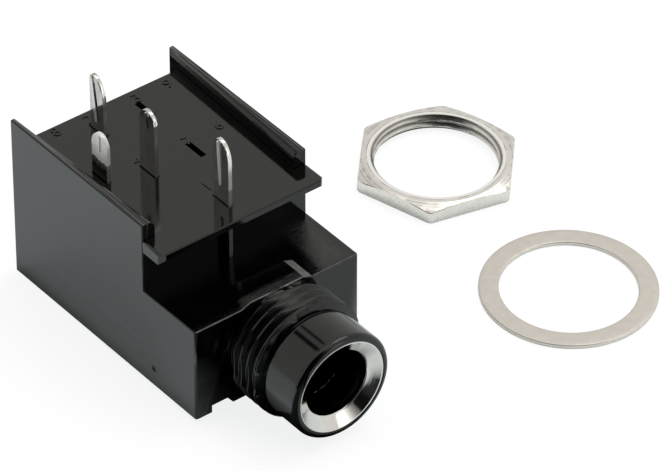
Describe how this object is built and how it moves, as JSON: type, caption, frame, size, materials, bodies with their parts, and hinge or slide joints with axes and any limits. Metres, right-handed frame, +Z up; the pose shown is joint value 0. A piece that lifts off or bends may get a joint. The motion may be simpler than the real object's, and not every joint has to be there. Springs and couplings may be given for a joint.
{
  "type": "audio jack socket",
  "caption": "Board-mounted three-conductor phone jack socket with switched tip contact, threaded nose, and its loose panel nut and washer.",
  "frame": {"origin": "on the plug axis, in the housing's front face, which lies against the panel", "axes": "+Z up along the solder pins; -Y along the plug axis out of the nose, so the plug goes in along +Y; +X to the right, seen from in front of the nose"},
  "size_m": [0.0471, 0.0404, 0.023],
  "materials": {
    "moulding": "black moulded plastic, semi-gloss",
    "plate": "black moulded plastic, gloss",
    "ferrule": "polished plating",
    "contact_metal": "tin plated strip",
    "spring_metal": "tin plated spring strip",
    "nut_metal": "bright nickel plating",
    "washer_metal": "satin nickel plating"
  },
  "bodies": {
    "socket": {"housing": "moulding", "terminal_plate": "plate", "ferrule": "ferrule", "tip_terminal": "contact_metal", "ring_terminal": "contact_metal", "sleeve_terminal": "contact_metal", "switch_contact": "contact_metal", "hex_nut": "nut_metal", "washer": "washer_metal"},
    "tip_arm": {"tip_spring": "spring_metal"},
    "ring_arm": {"ring_spring": "spring_metal"},
    "sleeve_arm": {"sleeve_spring": "spring_metal"}
  },
  "joints": [
    {"name": "tip_spring_lift", "type": "hinge", "parent": "socket", "child": "tip_arm", "pos_m": [0.00155, 0.02123, 0.0054], "axis": [-1, 0, 0], "range_deg": [0, 13], "stiffness_Nm_per_rad": 0.25, "springref_deg": -5.73},
    {"name": "ring_spring_lift", "type": "hinge", "parent": "socket", "child": "ring_arm", "pos_m": [-0.00155, 0.01365, 0.005], "axis": [-1, 0, 0], "range_deg": [0, 13], "stiffness_Nm_per_rad": 0.25, "springref_deg": -5.73},
    {"name": "sleeve_spring_lift", "type": "hinge", "parent": "socket", "child": "sleeve_arm", "pos_m": [0, 0.00635, 0.00375], "axis": [-1, 0, 0], "range_deg": [0, 7], "stiffness_Nm_per_rad": 0.25, "springref_deg": -5.73}
  ]
}
